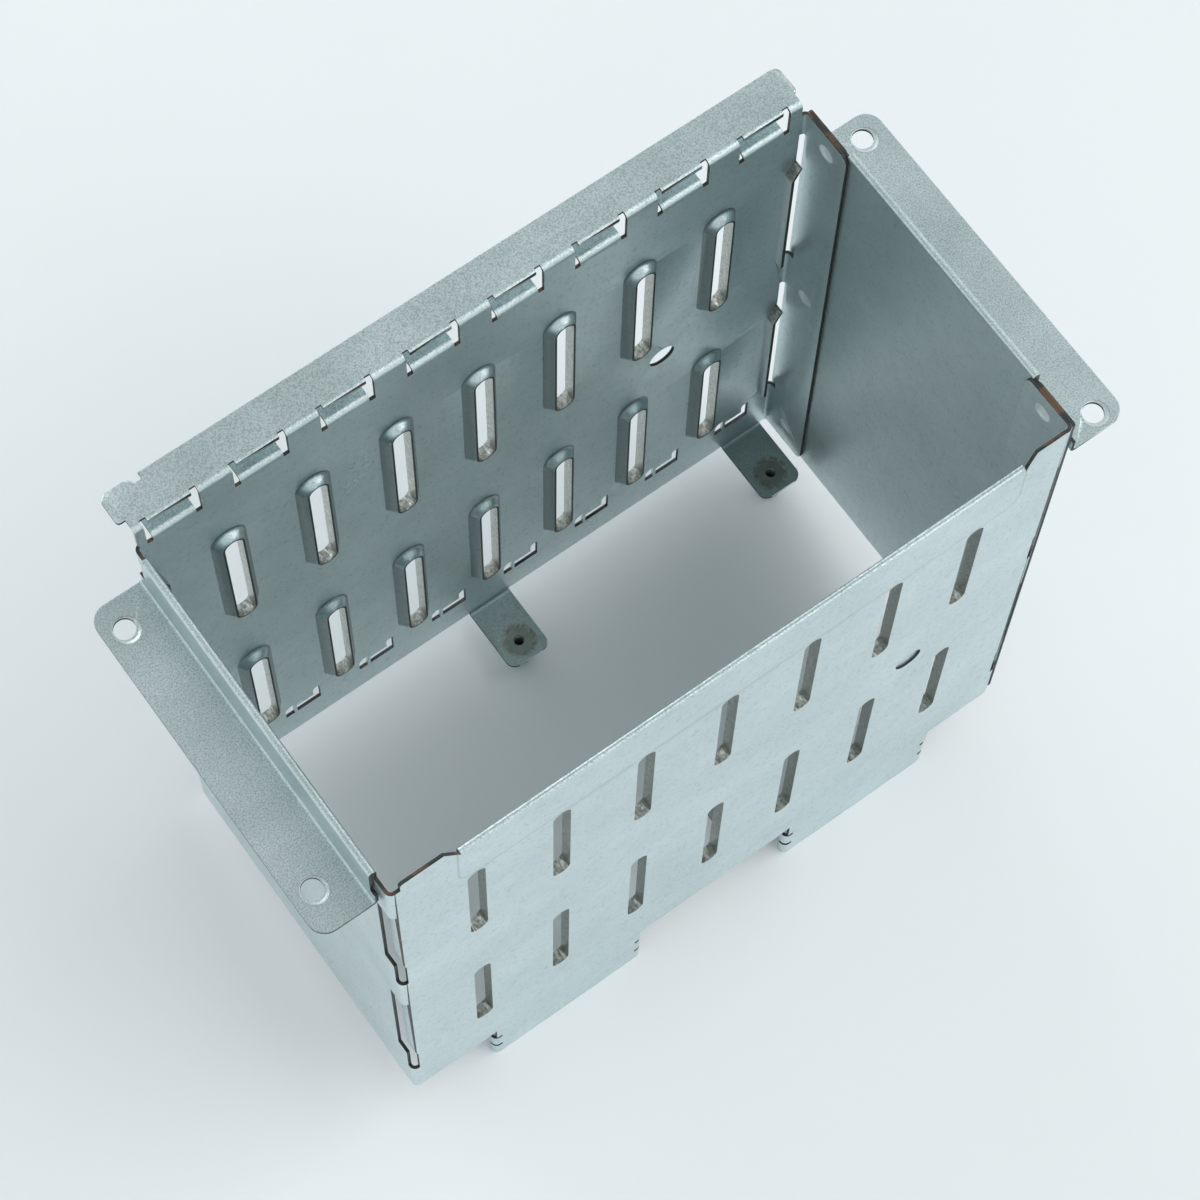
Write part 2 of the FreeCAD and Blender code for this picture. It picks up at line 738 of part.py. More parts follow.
def make_latches(wall):
    """Latch openings beside the lower slots: a small eye, then a bar with an upright spur."""
    low, first = DIM["latch_low"], DIM["slot_first"]
    eye_left = first + DIM["latch_offset"]
    eye_right = eye_left + DIM["latch_eye_width"]
    bar_left, bar_right = first + DIM["latch_bar_start"], first + DIM["latch_bar_end"]
    spur = bar_right - DIM["latch_spur_width"]
    bar_top, spur_top = low + DIM["latch_bar_height"], low + DIM["latch_spur_height"]
    eye_top = low + DIM["latch_eye_height"]
    through = span(wall.depth(-OVERLAP), wall.depth(DIM["gauge"] + OVERLAP))
    return cut(
        wall.body, "latch", "XZ_Plane", *through,
        outline(
            (eye_left, low), (eye_right, low), (eye_right, eye_top),
            (eye_left, eye_top, DIM["latch_eye_width"] * 0.8),
        ),
        outline(
            (bar_left, low), (bar_right, low), (bar_right, spur_top),
            (spur, spur_top, DIM["latch_spur_width"] * 0.6), (spur, bar_top), (bar_left, bar_top),
        ),
    )


class End:
    """One end of the cage: a hem folded outwards, then an ear; out runs from the inner face."""

    def __init__(self, body, side, face, outwards):
        self.body = body
        self.side = side
        self.face = as_size(face)
        self.outwards = outwards

    def size(self, name):
        """Dimension of this side's own, such as ear_reach of the left end."""
        return DIM[f"{self.side}_{name}"]

    def out(self, distance):
        """X at this distance outside the end's inner face."""
        return self.face + as_size(distance) * self.outwards

    def make_hem(self, base):
        """Hem folded outwards and down from this level, then turned out again to the ear."""
        gauge, gap, inside = DIM["gauge"], DIM["hem_gap"], DIM["bend_inside"]
        top, level, fold = DIM["end_hem_top"], DIM["ear_level"], HEM_WIDTH / 2
        skirt = level + DIM["ear_skirt"]
        start, end = self.size("hem_start"), self.size("hem_end")
        ear_root = self.out(HEM_WIDTH + inside + OVERLAP)
        add(
            self.body, "end_hem", "XZ_Plane", start, end - start,
            outline(
                (self.out(0), base),
                (self.out(0), top, fold),
                (self.out(HEM_WIDTH), top, fold),
                (self.out(HEM_WIDTH), skirt - OVERLAP),
                (self.out(gauge + gap), skirt - OVERLAP),
                (self.out(gauge + gap), top - gauge, gap / 2),
                (self.out(gauge), top - gauge, gap / 2),
                (self.out(gauge), base),
            ),
        )
        start, end = self.size("ear_start"), self.size("ear_end")
        add(
            self.body, "ear_bend", "XZ_Plane", start, end - start,
            outline(
                (self.out(HEM_WIDTH), skirt),
                (self.out(HEM_WIDTH), level, inside),
                (ear_root, level),
                (ear_root, level - gauge),
                (self.out(gauge + gap), level - gauge, BEND_OUTSIDE),
                (self.out(gauge + gap), skirt),
            ),
        )

    def make_ear(self):
        """Level ear with rounded outer corners and two mounting holes."""
        gauge, radius = DIM["gauge"], DIM["ear_round"]
        root, edge = self.out(HEM_WIDTH + DIM["bend_inside"]), self.out(self.size("ear_reach"))
        start, end = self.size("ear_start"), self.size("ear_end")
        hole_x, first = self.out(self.size("hole_reach")), self.size("hole_first")
        holes = [ring(hole_x, y, DIM["ear_hole"] / 2) for y in (first, first + self.size("hole_spacing"))]
        add(
            self.body, "ear", "XY_Plane", DIM["ear_level"] - gauge, gauge,
            outline((root, start), (edge, start, radius), (edge, end, radius), (root, end)),
            *holes,
        )


def make_shell():
    """Folded shell: front wall, left end with its ear, back wall and the right flanges."""
    body = new_body("cage_shell")
    front = LongWall(body, "front", 0, 1)
    back = LongWall(body, "back", DIM["cage_width"], -1)
    make_channel(body)
    make_rail(back)
    make_front_hem(front)
    left = End(body, "left", DIM["gauge"], -1)
    left.make_hem(DIM["corner_top"] - OVERLAP)
    left.make_ear()
    make_clinches(body)
    make_knockouts(body)
    make_strips(body)
    front.make_feet()
    back.make_feet()
    front.make_corner_slots(-1)
    back.make_corner_slots(1)
    make_windows(back)
    beside_bays = [*make_slots(body), make_latches(back)]
    repeat(body, "bay_slots", beside_bays, SLOT_COUNT, DIM["bay_pitch"])
    return body


def make_end_plate():
    """Right end: flat plate with two unhemmed horns, a hem and an ear."""
    body = new_body("end_plate")
    end = End(body, "right", DIM["cage_length"], 1)
    gauge, relief = DIM["gauge"], DIM["hem_relief"]
    start, finish = end.size("wall_start"), end.size("wall_end")
    shoulder, radius = DIM["end_hem_top"] - HEM_WIDTH / 2, gauge * 2
    thickness = span(end.out(0), end.out(gauge))
    add(
        body, "plate", "YZ_Plane", *thickness,
        outline((start, 0, radius), (finish, 0, radius), (finish, shoulder), (start, shoulder)),
    )
    horns = ((start, end.size("hem_start") - relief), (end.size("hem_end") + relief, finish))
    add(
        body, "plate_horns", "YZ_Plane", *thickness,
        *[
            outline(
                (low, shoulder - OVERLAP), (high, shoulder - OVERLAP),
                (high, DIM["flange_top"], gauge), (low, DIM["flange_top"], gauge),
            )
            for low, high in horns
        ],
    )
    end.make_hem(shoulder - OVERLAP)
    end.make_ear()
    return body


def make_standoff(number, x, y):
    """Self-clinching standoff: hexagonal head flush in the foot, round threaded barrel."""
    head, length = DIM["standoff_head"], DIM["standoff_length"]
    top = -DIM["bend_inside"]
    parts = []
    for kind, name, radius, height in (
        ("Part::Prism", "head", DIM["standoff_hex"] / math.sqrt(3), head),
        ("Part::Cylinder", "barrel", DIM["standoff_barrel"] / 2, length),
        ("Part::Cylinder", "bore", DIM["standoff_bore"] / 2, length + 2 * OVERLAP),
    ):
        solid = doc.addObject(kind, f"standoff_{number}_{name}")
        solid.setExpression("Circumradius" if kind == "Part::Prism" else "Radius", radius.formula)
        solid.setExpression("Height", height.formula)
        low = top + OVERLAP - height if name == "bore" else top - height
        for axis, size in (("x", x), ("y", y), ("z", low)):
            solid.setExpression(f"Placement.Base.{axis}", size.formula)
        parts.append(solid)
    head_solid, barrel, bore = parts
    head_solid.Polygon = 6
    head_solid.setExpression("Placement.Rotation.Angle", "30 deg")
    body = doc.addObject("Part::Fuse", f"standoff_{number}_body")
    body.Base, body.Tool = head_solid, barrel
    standoff = doc.addObject("Part::Cut", f"standoff_{number}")
    standoff.Base, standoff.Tool = body, bore
    return standoff


def make_standoffs():
    """The four standoffs as one group: two in the back feet, two in the front feet."""
    half, inset = DIM["foot_width"] / 2, DIM["foot_hole_inset"]
    rows = (
        (DIM["foot_back_x"], DIM["foot_back_spacing"], DIM["cage_width"] - inset),
        (DIM["foot_front_x"], DIM["foot_front_spacing"], inset),
    )
    standoffs = []
    for start, spacing, y in rows:
        for x in (start + half, start + half + spacing):
            standoffs.append(make_standoff(len(standoffs) + 1, x, y))
    group = doc.addObject("Part::Compound", "foot_standoffs")
    group.Label = "foot_standoffs"
    group.Links = standoffs
    return group


def check_document(parts):
    """Stop if any object failed, or a sub-part has no sound shape."""
    failed = [item.Name for item in doc.Objects if {"Invalid", "Error"} & set(item.State)]
    failed += [part.Label for part in parts if part.Shape.isNull() or not part.Shape.isValid()]
    if failed:
        raise RuntimeError("not sound: " + ", ".join(failed))


def main():
    parts = [make_shell(), make_end_plate(), make_standoffs()]
    for part in parts:
        place(part)
    doc.recompute()
    check_document(parts)
    os.makedirs("parts", exist_ok=True)
    for part in parts:
        print(part.Label, len(part.Shape.Solids), "solids", round(part.Shape.Volume, 1), "mm3")
        part.Shape.exportStep(f"parts/{part.Label}.step")


main()
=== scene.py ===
# %% [markdown]
# # A hard drive cage of folded, galvanised sheet
# The cage is one long blank folded round both left corners, an end plate clinched to it at the
# right, and threaded standoffs under its feet. The construction comes packed as a fixed frame.
# This file gives it its zinc finish, its sheared and slightly rusty edges, its screw threads,
# and a pale studio to stand in.

# %% Load the frame
import math

import bmesh
import bpy
import numpy as np
from mathutils import Matrix, Vector
from mathutils.bvhtree import BVHTree


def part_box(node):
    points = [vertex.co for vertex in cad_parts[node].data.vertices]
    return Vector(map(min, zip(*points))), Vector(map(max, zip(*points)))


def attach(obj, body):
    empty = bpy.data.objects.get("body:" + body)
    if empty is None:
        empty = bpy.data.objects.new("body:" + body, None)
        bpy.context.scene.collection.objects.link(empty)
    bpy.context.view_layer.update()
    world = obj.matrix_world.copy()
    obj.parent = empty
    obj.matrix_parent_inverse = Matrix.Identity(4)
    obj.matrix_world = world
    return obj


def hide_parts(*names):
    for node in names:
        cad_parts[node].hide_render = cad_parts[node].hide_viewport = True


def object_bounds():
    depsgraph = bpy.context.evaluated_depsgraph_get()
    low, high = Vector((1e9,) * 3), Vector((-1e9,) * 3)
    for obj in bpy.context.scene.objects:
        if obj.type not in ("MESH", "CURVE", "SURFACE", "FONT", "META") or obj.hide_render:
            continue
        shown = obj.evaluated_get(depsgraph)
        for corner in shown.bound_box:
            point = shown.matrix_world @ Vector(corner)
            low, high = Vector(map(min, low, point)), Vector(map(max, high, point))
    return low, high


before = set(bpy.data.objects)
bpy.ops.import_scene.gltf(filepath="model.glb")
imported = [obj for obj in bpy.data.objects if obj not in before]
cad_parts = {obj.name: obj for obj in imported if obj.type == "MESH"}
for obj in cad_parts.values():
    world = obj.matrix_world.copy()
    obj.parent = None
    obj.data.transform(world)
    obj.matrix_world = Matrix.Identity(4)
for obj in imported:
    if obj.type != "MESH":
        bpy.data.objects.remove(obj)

cad_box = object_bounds()
MM = 0.001
cad_size = [round(length / MM, 1) for length in cad_box[1] - cad_box[0]]
print("frame holds", sorted(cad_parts), "in a box of", cad_size)

# %% [markdown]
# ## The camera
# The photograph looks steeply down into the open cage from its front left corner. Its place
# was worked out from the cage's corners, slots and holes, so three directions are written
# down here: to the right, down and forward in the picture. A Blender camera looks along its
# own -Z with +Y up, so the three become its axes with two signs turned round.

# %% Stand the camera where the photograph was taken
RIGHT = Vector((0.81049737, -0.58559701, 0.01304443))
DOWN = Vector((-0.54129686, -0.75732136, -0.36532462))
FORWARD = Vector((0.22381183, 0.28903373, -0.93078879))
CAMERA_PLACE = Vector((-222.48, -290.88, 1057.75)) * MM
camera_data = bpy.data.cameras.new("camera")
camera_data.lens = 108.43
camera_data.sensor_width = 36.0
camera_data.clip_end = 20.0
camera = bpy.data.objects.new("camera", camera_data)
bpy.context.scene.collection.objects.link(camera)
turn = Matrix((RIGHT, -DOWN, -FORWARD)).transposed().to_4x4()
camera.matrix_world = Matrix.Translation(CAMERA_PLACE) @ turn
bpy.context.scene.camera = camera
print("camera is", round(camera.location.length, 3), "m from the cage")

# %% [markdown]
# ## The floor and the light
# Nothing holds the cage level: it leans back a few degrees, from the two strips under its
# front wall on to the standoffs under its back feet. The floor plane passes through those
# two lines. It is a matt, slightly cool white. The light is that of a tent: bright walls all
# round, a darker roof where the camera looks in, one broad lamp at the front right and a
# low one at the back, which shines in under the back wall. The roof matters most, because
# the ears and the rail are level and mirror it.

# %% Lay the floor under the strips and the back standoffs
def new_mesh(name, points, faces):
    """An object at the origin whose mesh holds these points and faces."""
    mesh = bpy.data.meshes.new(name)
    loops = [list(map(int, face)) for face in faces]
    mesh.from_pydata(np.asarray(points, float).tolist(), [], loops)
    mesh.update()
    made = bpy.data.objects.new(name, mesh)
    bpy.context.scene.collection.objects.link(made)
    return made


standoff_low, standoff_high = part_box("foot_standoffs")
front_line = np.array([cad_box[0].y, cad_box[0].z])
BARREL_RADIUS = 3.55 * MM
HEAD_CORNER = 4.56 * MM
back_line = np.array([standoff_high.y - HEAD_CORNER + BARREL_RADIUS, standoff_low.z])
rise = (back_line[1] - front_line[1]) / (back_line[0] - front_line[0])
REACH = 6.0
CLEAR = 0.05 * MM
corners = [(x, y, front_line[1] + rise * (y - front_line[0]) - CLEAR)
           for x, y in ((-REACH, -REACH), (REACH, -REACH), (REACH, REACH), (-REACH, REACH))]
floor = new_mesh("floor", corners, [(0, 1, 2, 3)])
print("the cage leans back", round(math.degrees(math.atan(rise)), 1), "degrees from the floor")


# %% A helper that builds materials node by node
class Nodes:
    """Shader nodes of one material, added and linked by name."""

    def __init__(self, name):
        self.material = bpy.data.materials.new(name)
        self.material.use_nodes = True
        self.tree = self.material.node_tree
        self.shader = self.tree.nodes["Principled BSDF"]
        self.coords = self.add("ShaderNodeTexCoord").outputs["Object"]

    def add(self, kind, **settings):
        """A node; settings whose value is a socket are linked, the others are set."""
        node = self.tree.nodes.new(kind)
        for name, value in settings.items():
            if hasattr(node, name):
                setattr(node, name, value)
            else:
                self.put(node.inputs[name.replace("_", " ")], value)
        return node

    def put(self, target, value):
        if isinstance(value, bpy.types.NodeSocket):
            self.tree.links.new(value, target)
        else:
            target.default_value = value

    def noise(self, scale, detail=2.0, stretch=None):
        """Cloudy noise; stretch scales the coordinates first, so that it runs in streaks."""
        where = self.coords
        if stretch is not None:
            where = self.add("ShaderNodeMapping", Vector=where, Scale=stretch).outputs[0]
        return self.add("ShaderNodeTexNoise", Vector=where, Scale=scale, Detail=detail).outputs[0]

    def spread(self, value, low, high, to_low=0.0, to_high=1.0):
        """The value stretched so that low gives to_low and high gives to_high, held between."""
        node = self.add("ShaderNodeMapRange", clamp=True)
        for name, number in (("Value", value), ("From Min", low), ("From Max", high),
                             ("To Min", to_low), ("To Max", to_high)):
            self.put(node.inputs[name], number)
        return node.outputs[0]

    def maths(self, kind, first, second=0.0):
        """One step of arithmetic; second does nothing where the step has a single input."""
        node = self.add("ShaderNodeMath", operation=kind)
        self.put(node.inputs[0], first)
        self.put(node.inputs[1], second)
        return node.outputs[0]

    def mix(self, share, first, second, blend="MIX"):
        """Colour first, turning into colour second where share is 1."""
        node = self.add("ShaderNodeMix", data_type="RGBA", blend_type=blend)
        self.put(node.inputs[0], share)
        for socket, colour in ((node.inputs[6], first), (node.inputs[7], second)):
            self.put(socket, colour)
        return node.outputs[2]

    def nearest(self, places):
        """Distance, seen from above, to the nearest of these places."""
        flat = self.add("ShaderNodeVectorMath", operation="MULTIPLY")
        self.put(flat.inputs[0], self.coords)
        self.put(flat.inputs[1], (1.0, 1.0, 0.0))
        found = None
        for x, y in places:
            node = self.add("ShaderNodeVectorMath", operation="DISTANCE")
            self.put(node.inputs[0], flat.outputs[0])
            self.put(node.inputs[1], (float(x), float(y), 0.0))
            away = node.outputs["Value"]
            found = away if found is None else self.maths("MINIMUM", found, away)
        return found

    def attribute(self, name):
        return self.add("ShaderNodeAttribute", attribute_name=name).outputs["Fac"]

    def axis(self, letter):
        """One of the object coordinates, in metres."""
        return self.add("ShaderNodeSeparateXYZ", Vector=self.coords).outputs[letter]

    def facing_up(self):
        """1 where the surface faces straight up, 0 where it is upright, -1 below."""
        normal = self.add("ShaderNodeNewGeometry").outputs["Normal"]
        return self.add("ShaderNodeSeparateXYZ", Vector=normal).outputs["Z"]


def colour(red, green, blue):
    """Linear colour from 0 to 255 numbers: ((c + 0.055) / 1.055) ^ 2.4, c / 12.92 if dark."""
    level = np.array([red, green, blue]) / 255.0
    linear = np.where(level <= 0.04045, level / 12.92, ((level + 0.055) / 1.055) ** 2.4)
    return (*[float(value) for value in linear], 1.0)


def finish(nodes, base, roughness, metallic, bump=None, strength=0.1, distance=0.05 * MM, edge=None):
    """Link the finished values to the shader, with softened edges under the bump."""
    nodes.put(nodes.shader.inputs["Base Color"], base)
    nodes.put(nodes.shader.inputs["Roughness"], roughness)
    nodes.put(nodes.shader.inputs["Metallic"], metallic)
    normal = None
    if edge is not None:
        normal = nodes.add("ShaderNodeBevel", samples=4, Radius=edge).outputs[0]
    if bump is not None:
        node = nodes.add("ShaderNodeBump", Height=bump, Strength=strength, Distance=distance)
        if normal is not None:
            nodes.put(node.inputs["Normal"], normal)
        normal = node.outputs[0]
    if normal is not None:
        nodes.put(nodes.shader.inputs["Normal"], normal)
    return nodes.material


print("material helper ready")

# %% Paint the floor and light the tent
paper = Nodes("matt_white_floor")
grain = paper.noise(3.0, 3.0)
shade = paper.spread(grain, 0.35, 0.65)
paper_colour = paper.mix(shade, colour(236, 240, 242), colour(240, 243, 245))
floor.data.materials.append(finish(paper, paper_colour, 0.75, 0.0))

world = bpy.data.worlds.new("tent")
bpy.context.scene.world = world
world.use_nodes = True
sky = world.node_tree.nodes["Background"]
sky.inputs["Color"].default_value = (0.935, 0.98, 0.99, 1.0)
WALLS, ROOF = 0.93, 0.55
ROOF_BEGINS, ROOF_FULL = 0.55, 0.93
way = world.node_tree.nodes.new("ShaderNodeTexCoord")
split = world.node_tree.nodes.new("ShaderNodeSeparateXYZ")
fade = world.node_tree.nodes.new("ShaderNodeMapRange")
for name, number in (("From Min", ROOF_BEGINS), ("From Max", ROOF_FULL),
                     ("To Min", WALLS), ("To Max", ROOF)):
    fade.inputs[name].default_value = number
world.node_tree.links.new(way.outputs["Generated"], split.inputs[0])
world.node_tree.links.new(split.outputs["Z"], fade.inputs["Value"])
world.node_tree.links.new(fade.outputs[0], sky.inputs["Strength"])


def broad_sun(name, towards, width, strength):
    """Even light from one direction, spread over a disc of sky this many degrees wide."""
    lamp = bpy.data.lights.new(name, "SUN")
    lamp.energy = strength
    lamp.angle = math.radians(width)
    made = bpy.data.objects.new(name, lamp)
    bpy.context.scene.collection.objects.link(made)
    made.matrix_world = Vector(towards).to_track_quat("Z", "Y").to_matrix().to_4x4()
    return made


broad_sun("key", (0.9, -0.5, 1.0), 60.0, 0.92)
broad_sun("low_back", (-0.1, 1.0, 0.4), 50.0, 0.75)
bpy.context.scene.view_settings.view_transform = "Standard"
print("tent walls", WALLS, "and roof", ROOF)

# %% [markdown]
# ## Sheet metal has two kinds of surface
# The flat faces of the sheet are zinc. The narrow edges are where a die sheared it, and
# there the bare steel turns dark and rusts. Which face is which can be measured: from a
# face of a 1 mm sheet, the far side is 1 mm away, and from a sheared edge it is much
# further. So a ray is sent inwards from every face of a merged copy of the sheet, and the
# distance becomes an attribute that the material reads.

# %% Copy a packed sheet and mark what cut each face
PROBE = 3.4 * MM
SKIN = 0.001 * MM
GAUGE = 1.0 * MM
OFF_GAUGE = 0.03 * MM
COLLAR = 4.0 * MM
WALL_LINES = (-62.75 * MM, 50.45 * MM)
SQUARE_TO_WALL, ALONG_WALL = 0.05, 0.95
SHARP_FROM = math.radians(40)


def dressed_copy(node, name):
    """Merged, smooth copy of a node whose faces say what made them.

    sheared is 1 on a cut edge, where the ray meets nothing. Beside the long walls, where it
    meets something that is not one gauge away, the face belongs to a drawn slot: pierced is
    1 on the slot's own wall, which runs square through the sheet, and flank is 1 on the
    slope outside it. All three are 0 on the flat sheet.
    """
    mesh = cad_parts[node].data.copy()
    work = bmesh.new()
    work.from_mesh(mesh)
    bmesh.ops.remove_doubles(work, verts=work.verts, dist=0.0001 * MM)
    tree = BVHTree.FromBMesh(work)
    marks = {"sheared": [], "pierced": [], "flank": []}
    for face in work.faces:
        middle = face.calc_center_median()
        hit = tree.ray_cast(middle - face.normal * SKIN, -face.normal, PROBE)
        cut = hit[0] is None
        by_slot = min(abs(middle.y - line) for line in WALL_LINES) < COLLAR
        drawn = by_slot and not cut and abs(hit[3] - GAUGE) > OFF_GAUGE
        square = abs(face.normal.y) < SQUARE_TO_WALL
        marks["sheared"].append(float(cut))
        marks["pierced"].append(float(drawn and square))
        marks["flank"].append(float(drawn and not square and abs(face.normal.y) < ALONG_WALL))
    work.to_mesh(mesh)
    work.free()
    for mark, values in marks.items():
        mesh.attributes.new(mark, "FLOAT", "FACE").data.foreach_set("value", np.array(values))
    mesh.shade_smooth()
    mesh.set_sharp_from_angle(angle=SHARP_FROM)
    made = bpy.data.objects.new(name, mesh)
    bpy.context.scene.collection.objects.link(made)
    mesh.materials.clear()
    planes = made.modifiers.new("level_planes", "WEIGHTED_NORMAL")
    planes.mode, planes.keep_sharp, planes.weight = "FACE_AREA", True, 90
    found = {mark: int(sum(values)) for mark, values in marks.items()}
    print(name, len(mesh.polygons), "faces:", found)
    return made


shell = dressed_copy("cage_shell", "folded_shell")
plate = dressed_copy("end_plate", "clinched_end_plate")

# %% [markdown]
# ## The clinch points
# A clinch tool presses the two sheets into each other and leaves a small dish that catches the
# light. The packed dishes are shallow. Here they are pressed a little deeper and wider, so that
# their lower sides face the light: a corner that lies r from the dish's middle and d below the
# sheet goes to 1.25 r and 1.4 d. The dishes' faces are also marked for a painted highlight: a
# pale, less metallic colour that stands in for the glint of light in them.

# %% Press the dishes a little deeper and wider
FLOOR_DEPTH, RIM = 0.6 * MM, 4.0 * MM
DEEPER, WIDER = 1.4, 1.25
ONE_DISH = 30 * MM
NEAR = 0.01 * MM
inner_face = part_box("end_plate")[0].x - GAUGE


def triples(items, what):
    """One row of three numbers for each vertex or polygon."""
    values = np.empty(len(items) * 3)
    items.foreach_get(what, values)
    return values.reshape(-1, 3)


spots = triples(shell.data.vertices, "co")
depth = spots[:, 0] - inner_face
between = (spots[:, 1] > WALL_LINES[0] + COLLAR) & (spots[:, 1] < WALL_LINES[1] - COLLAR)
on_floor = np.flatnonzero(between & (np.abs(depth - FLOOR_DEPTH) < NEAR))
groups = np.round(spots[on_floor, 1:] / ONE_DISH).astype(int)
dishes = []
for group in np.unique(groups, axis=0):
    base = spots[on_floor[(groups == group).all(axis=1)], 1:]
    dishes.append((base.min(axis=0) + base.max(axis=0)) / 2)
for dish in dishes:
    inside = np.hypot(*(spots[:, 1:] - dish).T) < RIM
    inside &= (depth > -NEAR) & (depth < FLOOR_DEPTH + NEAR)
    spots[inside, 1:] = dish + (spots[inside, 1:] - dish) * WIDER
    spots[inside, 0] = inner_face + depth[inside] * DEEPER
shell.data.vertices.foreach_set("co", spots.ravel())
shell.data.update()
middles, normals = triples(shell.data.polygons, "center"), triples(shell.data.polygons, "normal")
depth = middles[:, 0] - inner_face
# Painted highlight: the dishes' faces are marked so that the material paints a glint on them.
glint_painted = np.zeros(len(middles), bool)
for dish in dishes:
    glint_painted |= np.hypot(*(middles[:, 1:] - dish).T) < RIM
glint_painted &= (depth > 0.02 * MM) & (depth < 0.95 * GAUGE) & (normals[:, 0] < -0.05)
pressed = shell.data.attributes.new("pressed", "FLOAT", "FACE")
pressed.data.foreach_set("value", glint_painted.astype(float))
print(len(dishes), "dishes,", int(glint_painted.sum()), "faces burnished")

# %% Find the holes that the finish has to know about
def standoff_places(node):
    """Centre of each standoff, from the corners that lie at the barrels' lower ends."""
    spots = np.array([corner.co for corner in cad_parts[node].data.vertices])
    ends = spots[spots[:, 2] < spots[:, 2].min() + 0.1 * MM]
    places = []
    for row in (ends[ends[:, 1] < 0], ends[ends[:, 1] >= 0]):
        row = row[np.argsort(row[:, 0])]
        parting = np.argmax(np.diff(row[:, 0])) + 1
        for group in (row[:parting], row[parting:]):
            places.append((group.min(axis=0) + group.max(axis=0))[:2] / 2)
    return places


STANDOFFS = standoff_places("foot_standoffs")
EAR_HOLES = ((-119.4, -46.25), (-119.4, 38.05), (117.9, -57.55), (117.9, 41.15))
EAR_HOLE_RADIUS = 3.0 * MM
# The rims' middles sit off the holes' middles, so each rim's bump and its painted highlight are wider on
# one side.
RIM_SHIFT = (0.3, -0.6)
ROLLED_RIMS = [((x + RIM_SHIFT[0]) * MM, (y + RIM_SHIFT[1]) * MM) for x, y in EAR_HOLES]
print("standoffs at", [[round(float(v) / MM, 1) for v in place] for place in STANDOFFS])

# %% [markdown]
# ## Galvanised sheet
# Hot dipped zinc is a pale blue grey metal. Close up it has three patterns: faint spangle a
# few millimetres across, fine dark speckle that gives it a dusty look, and soft streaks
# along which it was rolled and folded. Each pattern is a noise at its own size, and each
# changes the colour a little and the roughness a little, so that reflections break up.
#
# Three marks come from the tools. The ear holes have a rolled rim, wider on one side, and on
# it a painted highlight: a pale crescent where the roll catches the light. The standoffs' heads
# sit in a brown ring, where pressing them in cracked the zinc. And the front hem's hidden inner
# leaf was flattened so hard that its outline shows through on the outside, as a faint line that just
# clears the upper slots. Besides, painted shade lies on the level faces of the feet and on the upright
# parts of the drawn slots' flanks, and a painted highlight in the clinch dishes.

# %% Marks that the tools left
WALLS_FOOT = (30.0 * MM, 40.0 * MM)
HEAD_RING = (4.7 * MM, 6.0 * MM)
RIM_DEEP, RIM_HIGHLIGHT, RIM_LINE = 0.9 * MM, (0.6 * MM, 0.75 * MM), (0.85 * MM, 0.2 * MM)
LEAF = {"X": (1.8 * MM, 88.8 * MM), "Z": (214.0 * MM, 23.0 * MM)}
LEAF_CORNER = 5.0 * MM
LEAF_LINE = (0.1 * MM, 0.5 * MM)


def rolled_rims(zinc, base):
    """The base colour with the ear holes' rims on it, and how deep the rim is rolled. A pale crescent on
    each rim is a painted highlight, with a thin dark outline round it.
    """
    from_hole = zinc.maths("SUBTRACT", zinc.nearest(ROLLED_RIMS), EAR_HOLE_RADIUS)
    # Painted highlight: a pale crescent on the rim.
    painted_rim_highlight = zinc.spread(from_hole, *RIM_HIGHLIGHT, 0.35, 0.0)
    base = zinc.mix(painted_rim_highlight, base, colour(226, 235, 235))
    off_line = zinc.maths("ABSOLUTE", zinc.maths("SUBTRACT", from_hole, RIM_LINE[0]))
    outline = zinc.spread(off_line, 0.0, RIM_LINE[1], 0.45, 0.0)
    return zinc.mix(outline, base, colour(104, 108, 100)), zinc.spread(from_hole, 0.0, RIM_DEEP, 1.0, 0.0)


def leaf_outline(zinc):
    """1 on the line that the front hem's inner leaf draws on the outer face.

    The leaf is a rectangle with rounded corners, given by its middle and half its length
    along x and z. With p as the distance beyond its straight part along x, and q along z, a
    point lies sqrt(p^2 + q^2) - r off the outline, where r is the corner radius and neither
    p nor q goes below 0.
    """
    squares = None
    for letter, (middle, half) in LEAF.items():
        away = zinc.maths("ABSOLUTE", zinc.maths("SUBTRACT", zinc.axis(letter), middle))
        beyond = zinc.maths("MAXIMUM", zinc.maths("SUBTRACT", away, half - LEAF_CORNER), 0.0)
        squared = zinc.maths("MULTIPLY", beyond, beyond)
        squares = squared if squares is None else zinc.maths("ADD", squares, squared)
    off_line = zinc.maths("SUBTRACT", zinc.maths("SQRT", squares), LEAF_CORNER)
    line = zinc.spread(zinc.maths("ABSOLUTE", off_line), *LEAF_LINE, 1.0, 0.0)
    outer_face = WALL_LINES[0]
    outside = zinc.spread(zinc.axis("Y"), outer_face + 0.1 * MM, outer_face + 0.3 * MM, 1.0, 0.0)
    return zinc.maths("MULTIPLY", line, outside)


print("tool marks ready")

# %% Mix the zinc
TOP_EDGES = (200.0 * MM, 212.0 * MM)


def rusty_steel(zinc):
    """Dark steel with blotches of rust, more of them along the top edges."""
    near_top = zinc.spread(zinc.axis("Z"), *TOP_EDGES)
    blotch = zinc.noise(300.0, 4.0)
    at_top = zinc.maths("MULTIPLY", near_top, zinc.spread(blotch, 0.48, 0.6, 0.0, 0.85))
    rust = zinc.maths("MAXIMUM", at_top, zinc.spread(blotch, 0.6, 0.66, 0.0, 0.6))
    return zinc.mix(rust, colour(60, 66, 66), colour(112, 86, 68))


